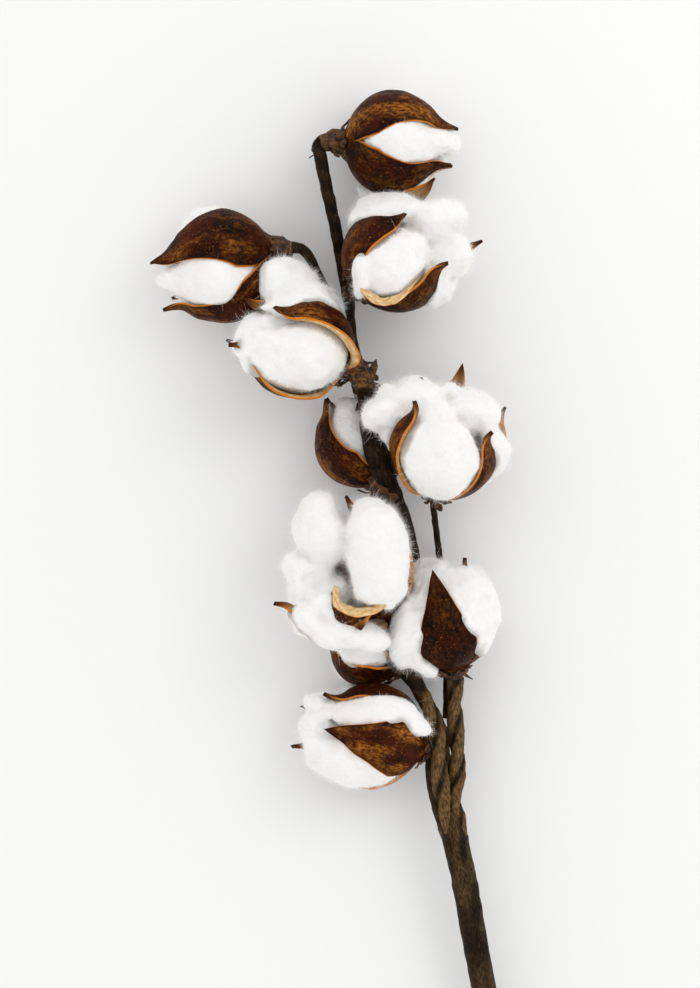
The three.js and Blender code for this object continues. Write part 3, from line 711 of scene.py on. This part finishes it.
# The locks that have swollen out over their bur, as lumpy eggs. Each is given by the place of its
# middle, half its length, width and height, and the way its length points in plan.
PUFFS = {
    "a": [[32.0, 140.0, 25, 11.5, 6.0, 11, -3], [18.2, 123.2, 13, 13.0, 3.6, 8, 0]],
    "b": [
        [17.3, 89.5, 42, 14.5, 13.7, 14, 40], [32.5, 107.8, 34, 12.7, 7.9, 12, 10],
        [39.2, 93.9, 34, 10.7, 10.3, 12, 80], [16.8, 114.5, 24, 13.6, 4.0, 9, -5],
        [5.0, 85.5, 46, 10.5, 5.0, 7, 80],
    ],
    "c": [[-69.5, 86.6, 24, 8.0, 4.6, 10, 0]],
    "d": [
        [-25.1, 83.5, 30, 13.5, 10.3, 13, 0], [-11.1, 74.0, 30, 13.1, 7.6, 12, -52],
        [-28.8, 57.1, 39, 16.9, 13.0, 13, 158],
    ],
    "e": [
        [32.0, 18.3, 48, 17.6, 12.1, 15, 95], [13.7, 31.4, 42, 9.8, 8.2, 11, 20],
        [24.3, 38.4, 44, 12.5, 6.7, 11, -5], [45.6, 32.2, 42, 13.0, 10.2, 12, 20],
    ],
    "f": [],
    "g": [
        [10.5, -23.0, 50, 22.2, 13.2, 15, 98.6], [-12.2, -13.4, 42, 14.1, 10.2, 13, 100],
        [-16.2, -30.8, 37, 10.3, 9.9, 12, 0], [-11.4, -43.0, 38, 14.6, 11.0, 13, 50],
        [0.5, -55.3, 43, 16.5, 6.2, 10, -10], [-15.0, -50.8, 47, 12.0, 5.8, 9, -36],
    ],
    "h": [
        [48.5, -46.9, 30, 19.9, 11.1, 15, 95], [21.9, -53.4, 29, 16.7, 8.8, 14, 82],
        [31.9, -33.9, 27, 11.2, 6.4, 11, 0], [28.4, -66.3, 30, 8.8, 5.0, 9, -42],
    ],
    "i": [
        [9.5, -87.8, 31, 13.5, 5.6, 10, -16], [-4.4, -103.8, 27, 14.4, 10.8, 13, -40],
        [-12.4, -93.6, 25, 7.6, 8.8, 11, 90], [-9.6, -83.0, 23, 8.8, 5.2, 9, 0],
        [18.6, -86.6, 34, 15.0, 5.8, 7, -27], [1.0, -107.0, 27, 13.0, 5.0, 9, -14],
    ],
    "j": [[0.8, -57.7, 24, 12.8, 6.0, 10, 0]],
}
# The grid that rebuilds a boll's locks as one skin, and how often that skin is smoothed.
SKIN_GRID = 1.1
SKIN_ROUNDS = 14
# The small cubes that say whether lint or a fibre is beside a valve.
CUBE = 1.2
# How high the lumps on a lock and on an egg are.
LOCK_LUMPS, EGG_LUMPS = 1.9, 2.6
# How many short fibres and how many wisps root in a square millimetre of skin.
SHORT_FIBRES, WISPS = 6, 0.2
# A fibre that crosses the front of a valve is left out if it reaches further than this.
OVER_RIM = 1.9
# Half the width of a short fibre and of a wisp. Real fibres are about 0.015 mm thick, and these are
# drawn five times as wide, so that they show.
FIBRE_HALF, WISP_HALF = 0.038, 0.032


def polar(points):
    """Azimuth, distance from the axis and height."""
    up, side, height = np.moveaxis(points, -1, 0)
    return np.arctan2(side, up), np.hypot(up, side), height


def past(azimuth, start):
    """How far one azimuth is past another, between half a turn back and half a turn on."""
    return (azimuth - start + np.pi) % (2 * np.pi) - np.pi


def kept_from(points, middle, least):
    """Points turned about the axis until they are at least that far past the middle."""
    azimuth, radius, height = polar(points)
    turn = past(azimuth, middle)
    turn = np.where(least > 0, np.maximum(turn, least), np.minimum(turn, least))
    return around_axis(middle + turn, radius, height)


def relaxed(rings, rounds):
    """Each point moved part of the way to the middle of its four neighbours, several times."""
    for _ in range(rounds):
        beside = (np.roll(rings, 1, 1) + np.roll(rings, -1, 1)) / 2
        before = np.concatenate([rings[:1], rings[:-1]])
        behind = np.concatenate([rings[1:], rings[-1:]])
        rings = rings + 0.45 * ((beside + (before + behind) / 2) / 2 - rings)
    return rings


def away_from(heart, rings):
    """The ways out of a lock: from halfway between its heart line and each ring's middle."""
    out = rings - (heart[:, None] + rings.mean(1, keepdims=True)) / 2
    return out / (np.linalg.norm(out, axis=2, keepdims=True) + 1e-9)


def lock_rings(one, after, fluff, over, bare):
    """Rings of a lock from foot to crown, the ways out of it, and how open each point lies. A ring
    runs inside one valve, bulges across the gap as a sine and comes back inside the next. The rings
    narrow round the heart line at the foot as a circle does, and a little more fully at the crown."""
    foot_at, top_at = 0.12, 0.9
    along = foot_at + (top_at - foot_at) * (0.5 - 0.5 * np.cos(np.linspace(0.03, 0.985, 46) * np.pi))
    depth = WALL + 0.35
    spots = np.linspace(0.04, bare, 7)
    here = valve_points(one, along, spots, depth)
    there = valve_points(after, along, -spots[::-1], depth)
    start = polar(here[:, -1])[0]
    middle = (start + past(polar(there[:, 0])[0], start) / 2)[:, None]
    least = 0.015 * np.arange(1, 8)
    here = kept_from(here, middle, -least[::-1])
    there = kept_from(there, middle, least)
    a_turn, a_radius, a_height = (v[:, None] for v in polar(here[:, -1]))
    b_turn, b_radius, b_height = (v[:, None] for v in polar(there[:, 0]))
    gap = (b_turn - a_turn) % (2 * np.pi)
    rounding = np.sqrt(np.sin(np.pi * (0.1 + 0.8 * (along - foot_at) / (top_at - foot_at))))[:, None]
    swell = np.minimum(fluff, 0.6 * gap * np.maximum(a_radius, b_radius)) * rounding
    t = np.linspace(0, 1, 32)[None, 1:-1]
    radius = a_radius + (b_radius - a_radius) * t + swell * np.sin(np.pi * t) ** 0.8
    bulge = around_axis(a_turn + gap * t, radius, a_height + (b_height - a_height) * t)
    height = (here[:, 0, 2] + there[:, -1, 2]) / 2
    centre = one["azimuth"] + one["after"]
    core = around_axis(centre, 0 * height + 0.8, height)[:, None]
    heart = around_axis(centre, 0.5 * radius[:, t.size // 2], height)
    heart[:, 2] += 6 * smooth(0.5, top_at, along) + 2.5 * (1 - smooth(foot_at, 0.38, along))
    foot = np.sqrt(1 - np.clip((0.34 - along) / (0.34 - foot_at), 0, 1) ** 2)
    top = np.sqrt(1 - np.clip((along - 0.62) / (top_at - 0.62), 0, 1) ** 2.4)
    rings = np.concatenate([core, here, bulge, there], 1)
    rings = heart[:, None] + (rings - heart[:, None]) * (foot * top)[:, None, None]
    edge = 0.3 * smooth(0.3, 1, spots / bare)
    openness = np.concatenate([[0], edge, 0 * t[0] + 1, edge[::-1]])
    crown = 0.8 * smooth(0.68, 0.86, along)[:, None]
    openness = np.maximum(openness[None, :], crown)
    rings = relaxed(rings, 3)
    share = np.concatenate([[0.5], 0 * spots, t[0], 0 * spots + 1])
    puffed = (over[0] + (over[1] - over[0]) * share) * smooth(0.14, 0.5, along)[:, None] * openness
    rings = relaxed(rings + away_from(heart, rings) * puffed[..., None], 4)
    return rings, away_from(heart, rings), openness


def egg_rings(egg):
    """Rings along an egg's length, each a cosine and a sine of its width and its height, and the
    ways out of it, which are its places divided by its half sizes squared."""
    middle, sizes, angle = np.array(egg[:3]), np.array(egg[3:6]), np.radians(egg[6])
    ways = np.array([[np.cos(angle), np.sin(angle), 0], [-np.sin(angle), np.cos(angle), 0], [0, 0, 1]])
    level = np.linspace(0.03, 0.97, 34)[:, None] * np.pi
    turn = np.linspace(0, 2 * np.pi, 42, endpoint=False)[None, :]
    unit = np.broadcast_arrays(-np.cos(level), np.sin(level) * np.cos(turn), np.sin(level) * np.sin(turn))
    rings = middle + (np.stack(unit, -1) * sizes) @ ways
    out = ((rings - middle) @ ways.T / sizes**2) @ ways
    return rings, out / np.linalg.norm(out, axis=2, keepdims=True)


def one_skin(shells):
    """One skin round all the shells: they are rebuilt on a grid and the skin is smoothed."""
    points, faces = joined(shells)
    block = bpy.data.objects.new("lint_block", mesh_of("lint_block", points, faces))
    bpy.context.scene.collection.objects.link(block)
    rebuilt = block.modifiers.new("rebuilt", "REMESH")
    rebuilt.mode = "VOXEL"
    rebuilt.voxel_size = SKIN_GRID / 1000
    softened = block.modifiers.new("softened", "SMOOTH")
    softened.factor = 0.5
    softened.iterations = SKIN_ROUNDS
    made = block.evaluated_get(bpy.context.evaluated_depsgraph_get()).to_mesh()
    made.calc_loop_triangles()
    points = np.empty(3 * len(made.vertices), np.float32)
    made.vertices.foreach_get("co", points)
    corners = np.empty(3 * len(made.loop_triangles), np.int32)
    made.loop_triangles.foreach_get("vertices", corners)
    bpy.data.objects.remove(block)
    return points.reshape(-1, 3) * 1000.0 - SHIFT, corners.reshape(-1, 3)


def outward_ways(points, corners):
    """The outward way at each point: the sum of its triangles' normals, made one long."""
    one, two, three = (points[corners[:, k]] for k in range(3))
    square = np.cross(two - one, three - one)
    total = np.zeros(points.shape)
    for axis in range(3):
        total[:, axis] = sum(np.bincount(corners[:, k], square[:, axis], len(points)) for k in range(3))
    return total / (np.linalg.norm(total, axis=1, keepdims=True) + 1e-12)


def cell_numbers(points):
    """The number of the small cube that each point lies in."""
    x, y, z = np.moveaxis(np.floor(points / CUBE).astype(np.int64) + 500, -1, 0)
    return (x * 1000 + y) * 1000 + z


def valve_cells(depths):
    """The small cubes that the valves of all the burs fill at those depths under their skin."""
    along, across = np.linspace(0, 1, 64), np.linspace(-0.97, 0.97, 33)
    cells = []
    for boll in BOLLS.values():
        points = [valve_points(valve, along, across, depth) for valve in valves_of(boll) for depth in depths]
        cells.append(cell_numbers(placed(boll, np.array(points))).ravel())
    return np.unique(np.concatenate(cells))


def evened(values, corners, rounds):
    """Numbers on a skin's points, each turned several times into the mean of its triangles' means."""
    shares = np.bincount(corners.ravel(), minlength=len(values))
    for _ in range(rounds):
        means = np.repeat(values[corners].mean(1), 3)
        values = np.bincount(corners.ravel(), means, len(values)) / shares
    return values


def roots_on(points, corners, outward, per_mm2, rng):
    """Random places on a skin, that many to a square millimetre, and their outward ways."""
    one, two, three = (points[corners[:, k]] for k in range(3))
    area = np.linalg.norm(np.cross(two - one, three - one), axis=1) / 2
    picked = rng.choice(len(area), int(per_mm2 * area.sum()), p=area / area.sum())
    share = rng.dirichlet((1, 1, 1), len(picked))
    return (points[corners[picked]] * share[..., None]).sum(1), outward[corners[picked, 0]]


def sideways(vectors, rng):
    """A random direction square to each vector."""
    made = np.cross(vectors, rng.normal(size=vectors.shape))
    return made / np.linalg.norm(made, axis=-1, keepdims=True)


def short_fibres(points, outward, rng):
    """Slim straight triangles that lean off the skin at all angles, most of them short: their lengths
    follow a gamma curve and their slopes a beta curve."""
    count = len(points)
    slope = rng.beta(1.6, 1.6, count)[:, None] * np.pi / 2
    way = sideways(outward, rng) * np.cos(slope) + outward * np.sin(slope)
    length = rng.gamma(2.6, 0.7, count).clip(0.4, 3.6)[:, None]
    half = FIBRE_HALF * sideways(way, rng)
    return np.stack([points - half, points + half, points + length * way], 1), np.array([[0, 1, 2]])


def wisps(points, outward, rng):
    """Longer ribbons that run off nearly flat, and bend to one side and curl as a square does."""
    count = len(points)
    ahead = sideways(outward, rng)
    side = np.cross(outward, ahead)
    slope = rng.beta(1.2, 3, (count, 1, 1)) * np.pi / 2
    length = rng.uniform(3, 8, (count, 1, 1))
    t = np.linspace(0, 1, 4)[None, :, None]
    bend = rng.normal(0, 0.4, (count, 1, 1)) * t**2 * side[:, None]
    curl = rng.normal(-0.05, 0.25, (count, 1, 1)) * t**2 * outward[:, None]
    straight = (ahead[:, None] * np.cos(slope) + outward[:, None] * np.sin(slope)) * t
    spine = points[:, None] + length * (straight + bend + curl)
    half = WISP_HALF * (1 - 0.6 * t) * side[:, None]
    strips = np.stack([spine - half, spine + half], 2).reshape(count, 8, 3)
    return strips, np.array([[0, 1, 3, 2], [2, 3, 5, 4], [4, 5, 7, 6]])


# Cotton lint: loose white fibre that light passes into and scatters inside. Painted shade makes it
# greyer in the folds and beside the husk. Its tufts are 3 mm wide.
LINT, tree, shader, marks = finish_named("cotton_lint", "shade")
# Painted shade: the lint turns grey where the shade mark is high, beside the husk and in the folds.
white = laid_on(tree, "#fbfaf7", "#a39a8d", marks["shade"], 0, 1)
place = add(tree, "TexCoord", output="Object")
tuft = add(tree, "TexNoise", {"Vector": place, "Scale": 1000 / 3, "Detail": 8, "Roughness": 0.6})
fluff = add(tree, "Bump", {"Height": tuft, "Strength": 0.8, "Distance": 0.0014})
fill(tree, shader, {"Base Color": white, "Roughness": 1, "Specular IOR Level": 0, "Normal": fluff,
                    "Subsurface Weight": 0.4, "Subsurface Radius": (1, 1, 1), "Subsurface Scale": 0.002})

# Single cotton fibres: the same white, with no gloss.
FIBRE, tree, shader, _ = finish_named("cotton_fibre")
fill(tree, shader, {"Base Color": "#fbfaf7", "Roughness": 1, "Specular IOR Level": 0})

# The cubes in a valve and just behind its inner face, and those in it and just before its skin.
BESIDE_VALVE = valve_cells((-0.4, 0.6, 1.6, 2.6, 3.6))
BEFORE_VALVE = valve_cells((-2.2, -1.2, -0.2, 0.8))
for letter, boll in BOLLS.items():
    number = 10 * (ord(letter) - 96)
    valves = valves_of(boll)
    lumps = []
    for i, (one, after) in enumerate(zip(valves, valves[1:] + valves[:1])):
        rings, out, openness = lock_rings(one, after, boll["fluff"][i], boll["over"][i], boll["bare"])
        out = placed(boll, out) - boll["base"]
        lumps.append([100 + number + i, LOCK_LUMPS, placed(boll, rings), out, openness])
    for i, egg in enumerate(PUFFS[letter]):
        rings, out = egg_rings(egg)
        lumps.append([1000 + number + i, EGG_LUMPS, rings, out, np.ones(rings.shape[:2])])
    shells = []
    for seed, height, rings, out, openness in lumps:
        lumpy = height * noise(rings, 10, seed) + 1.1 * noise(rings, 4.6, seed + 1)
        rings = rings + out * (lumpy * (0.1 + 0.9 * openness))[..., None]
        ends = 1.6 * rings[[0, -1]].mean(1) - 0.6 * rings[[1, -2]].mean(1)
        shells.append(shell(rings, ends[0], ends[1]))
    points, corners = one_skin(shells)
    outward = outward_ways(points, corners)
    beside = evened(np.isin(cell_numbers(points), BESIDE_VALVE).astype(float), corners, 3)
    tufted = 0.6 * noise(points, 4.4, seed) + 0.45 * noise(points, 2.3, seed + 2)
    points += outward * (tufted * (1 - 0.8 * beside))[:, None]
    points[:, 2] = np.maximum(points[:, 2], 0.15)
    flat = np.stack([evened(points[:, axis], corners, 8) for axis in range(3)], -1)
    fold = smooth(0.1, 1.2, ((flat - points) * outward).sum(1))
    # shade is painted shade: greyer beside the valves and in the folds of the skin.
    shade = np.clip(0.75 * smooth(0.15, 1, beside) + 0.5 * fold, 0, 1)
    nodes = [f"lint_{letter}_{i + 1}" for i in range(len(valves))]
    piece("lint_" + letter, (points, [corners]), LINT, "lint", nodes, shade=shade)
    rng = np.random.default_rng(seed)
    fibres = []
    for make, per_mm2 in ((short_fibres, SHORT_FIBRES), (wisps, WISPS)):
        roots, ways = roots_on(points, corners, outward, per_mm2, rng)
        free = ~np.isin(cell_numbers(roots), BESIDE_VALVE)
        strips, pattern = make(roots[free] - 0.3 * ways[free], ways[free], rng)
        reach = np.linalg.norm(strips[:, -1] - strips[:, 0], axis=1)
        strips = strips[~np.isin(cell_numbers(strips), BEFORE_VALVE).any(1) | (reach < OVER_RIM)]
        strips[..., 2] = np.maximum(strips[..., 2], 0.1)
        first = strips.shape[1] * np.arange(len(strips))[:, None, None]
        fibres.append((strips.reshape(-1, 3), [(first + pattern).reshape(-1, pattern.shape[1])]))
    piece("fibres_" + letter, joined(fibres), FIBRE, "lint", [])

# ---------------------------------------------------------------------------------------------
# Necks: where a boll joins its stem the tape and the dried foot of the flower are crushed into a
# rough knot. What is left of the calyx stands round it as torn, curled scraps, golden on some
# bolls and nearly black on others.

# path runs through the knot, radii are half its thickness along it, scraps is how many loose scraps
# lie on it besides the lobes of the calyx, and tone is how golden it is.
KNOTS = {
    "a": dict(path=[[-12.6, 140.6, 21.8], [-7.5, 141.6, 21.3], [-0.5, 141.3, 21]], radii=[3.2, 5.0, 5.6],
              scraps=9, tone=0.5),
    "b": dict(path=[[-1.0, 79.6, 18], [3.6, 83.0, 22.4]], radii=[3.2, 4.4], scraps=3, tone=0.2),
    "c": dict(path=[[-22.5, 98.6, 21.6], [-29, 98.4, 21.6], [-34, 97.0, 21.6]], radii=[3.0, 5.2, 7.0],
              scraps=5, tone=0.25),
    "d": dict(path=[[8.0, 40.5, 25], [3.2, 48.5, 27.5], [-3.4, 53.5, 26]], radii=[3.6, 5.0, 4.2],
              scraps=30, tone=1.0),
    "e": dict(path=[[33.5, -3.0, 24], [34.6, 2.2, 28]], radii=[2.6, 4.2], scraps=7, tone=0.5),
    "f": dict(path=[[9.5, 8.5, 30], [13.5, 1.5, 28], [17.0, -4.0, 27]], radii=[4.6, 5.6, 4.6],
              scraps=3, tone=0.2),
    "g": dict(path=[[21.5, -49.0, 29], [16.5, -46.5, 33]], radii=[3.4, 4.4], scraps=2, tone=0.2),
    "h": dict(path=[[42.0, -74, 25], [41.6, -69.5, 25.6]], radii=[3.0, 4.2], scraps=4, tone=0.3),
    "i": dict(path=[[33.4, -104.5, 20.8], [30.6, -101.5, 21.4], [26.4, -101.2, 22]], radii=[3.2, 5.2, 6.0],
              scraps=9, tone=0.9),
    "j": dict(path=[[21.6, -72.0, 17], [17.4, -69.0, 17.4]], radii=[3.2, 4.8], scraps=3, tone=0.3),
}
LOBES = 7
KNOT_SIDES = 40


def knot_rings(knot, seed):
    """A lump along its path, and that path. It is rounded at both ends as a quarter circle, and noise
    in its radius crushes it."""
    path, along = spline(knot["path"], 0.45)
    share = along / along[-1]
    foot = (1 - np.clip(1 - share / 0.12, 0, 1) ** 2) ** 0.5
    top = (1 - np.clip((share - 0.88) / 0.12, 0, 1) ** 2) ** 0.5
    thick = np.interp(share, np.linspace(0, 1, len(knot["radii"])), knot["radii"])
    thick = (thick * np.maximum(foot * top, 0.15))[:, None]
    rings = tube(path, thick * np.ones(KNOT_SIDES))
    out = (rings - path[:, None]) / thick[..., None]
    crush = 1.2 * noise(rings, 3.6, seed) + 0.8 * noise(rings, 1.7, seed + 1)
    crush -= 0.5 * np.abs(noise(rings, 2.6, seed + 2))
    return rings + out * (crush * np.minimum(thick / 4, 1))[..., None], path


def calyx_lobe(boll, k, rng):
    """Where one of the calyx's lobes roots under the bur, its way out, its upper side, its length
    and its width."""
    azimuth = 2 * np.pi * (k + rng.uniform(-0.3, 0.3)) / LOBES
    spots = [around_axis(azimuth, 2.6, -2.6), around_axis(azimuth, 3.6, -2.3), [0, 0, 1]]
    root, tip, axis = placed(boll, np.array(spots))
    return root, tip - root, axis - boll["base"], rng.uniform(5, 8.5), rng.uniform(1.8, 3.2)


def loose_scrap(knot, path, rng):
    """The same for a scrap that lies anywhere on the knot and points any way, but rather upwards."""
    step = rng.integers(len(path))
    way = rng.normal(size=3) * [1, 1, 0.6] + [0, 0, 0.25]
    up = np.cross(way, rng.normal(size=3))
    root = path[step] + 2.6 * way / np.linalg.norm(way)
    return root, way, up, rng.uniform(2.5, 6) * (1 + 0.5 * (knot["tone"] == 1)), rng.uniform(1.4, 3.0)


def scrap_rings(root, way, up, long, wide, seed):
    """A torn scrap: a blade that widens as a square root and then narrows unevenly, curls up as a
    square and is crumpled. Each ring goes across its top and back across its underside."""
    way = way / np.linalg.norm(way)
    up = up - way * np.dot(up, way)
    up = up / np.linalg.norm(up)
    u = np.linspace(0.02, 1, 9)[:, None]
    v = np.concatenate([np.linspace(-1, 1, 7), np.linspace(1, -1, 7)])[None, :]
    under = np.concatenate([np.zeros(7), np.full(7, 0.3)])[None, :]
    side = np.cross(up, way)
    jagged = 1 + 0.5 * noise(np.stack(np.broadcast_arrays(u * 9, np.sign(v), seed), -1), 1, seed)
    half = wide * np.sqrt(u) * (1 - 0.85 * u**3) * jagged
    spots = np.stack(np.broadcast_arrays(u * long, v * half, seed), -1)
    lift = long * 0.3 * u**2 + 0.9 * noise(spots, 2.2, seed) * smooth(0, 0.5, u) + 0.25 * half * v**2 - under
    return root + (u * long)[..., None] * way + (v * half)[..., None] * side + lift[..., None] * up


# Dried calyx and bracts: thin, crumpled and dull, from nearly black to golden brown.
CALYX, tree, shader, marks = finish_named("dried_calyx", "tone")
place = add(tree, "TexCoord", output="Object")
patch = add(tree, "TexNoise", {"Vector": place, "Scale": 1000 / 2.5, "Detail": 5, "Roughness": 0.6})
crumple = add(tree, "TexNoise", {"Vector": place, "Scale": 1000 / 1.2, "Detail": 5, "Roughness": 0.6})
dry = laid_on(tree, "#1f1007", "#6b4119", patch, 0.42, 0.62)
dry = laid_on(tree, dry, "#b98540", crumple, 0.52, 0.7, marks["tone"])
wrinkle = add(tree, "Bump", {"Height": crumple, "Strength": 0.8, "Distance": 0.0005})
fill(tree, shader, {"Base Color": dry, "Roughness": 0.75, "Normal": wrinkle})

shells, tones = [], []
for letter, knot in KNOTS.items():
    seed = 40 + ord(letter)
    rng = np.random.default_rng(seed)
    rings, path = knot_rings(knot, seed)
    shells.append(shell(rings, path[0], path[-1]))
    tones.append(0.6 * knot["tone"])
    for k in range(LOBES + knot["scraps"]):
        scrap = calyx_lobe(BOLLS[letter], k, rng) if k < LOBES else loose_scrap(knot, path, rng)
        shells.append(closed(scrap_rings(*scrap, seed + 3 * k)))
        tones.append(knot["tone"] * rng.uniform(0.5, 1))
points, faces = joined(shells)
points[:, 2] = np.maximum(points[:, 2], 0.1)
tones = np.repeat(tones, [len(its_points) for its_points, its_faces in shells])
piece("dried_necks", (points, faces), CALYX, "bur", [], tone=tones)

# ---------------------------------------------------------------------------------------------
# Floor, light and camera: a plain pale surface of matt plaster, a large soft light from the upper
# right and a bright surrounding, seen from straight above.
floor_mesh = bpy.data.meshes.new("floor")
floor_mesh.from_pydata([(-3, -3, 0), (3, -3, 0), (3, 3, 0), (-3, 3, 0)], [], [(0, 1, 2, 3)])
floor = bpy.data.objects.new("floor", floor_mesh)
bpy.context.scene.collection.objects.link(floor)
FLOOR, tree, shader, _ = finish_named("pale_plaster")
fill(tree, shader, {"Base Color": "#f4f4f3", "Roughness": 0.9})
floor_mesh.materials.append(FLOOR)

world = bpy.data.worlds.new("studio")
bpy.context.scene.world = world
world.use_nodes = True
background = world.node_tree.nodes["Background"]
fill(world.node_tree, background, {"Color": "#ffffff", "Strength": 0.98})

lamp = bpy.data.lights.new("soft_key", "AREA")
lamp.shape = "DISK"
lamp.size = 0.9
lamp.energy = 3
key = bpy.data.objects.new("soft_key", lamp)
key.location = (0.85, 0.75, 1.15)
aim = np.array([0.0, 0.1, 0.0]) - np.array(key.location)
lean = math.atan2(math.hypot(aim[0], aim[1]), -aim[2])
key.rotation_euler = (lean, 0, math.atan2(aim[0], -aim[1]) + math.pi)
bpy.context.scene.collection.objects.link(key)

lens = bpy.data.cameras.new("camera")
lens.lens = 85
lens.sensor_width = 36
lens.clip_end = 20
# Straight above the layout's origin, and 933 mm above the bunch's middle height, which is 25 mm.
camera = bpy.data.objects.new("camera", lens)
camera.location = (SHIFT[0] / 1000, SHIFT[1] / 1000, 0.958)
bpy.context.scene.collection.objects.link(camera)
bpy.context.scene.camera = camera
bpy.context.scene.view_settings.view_transform = "Standard"
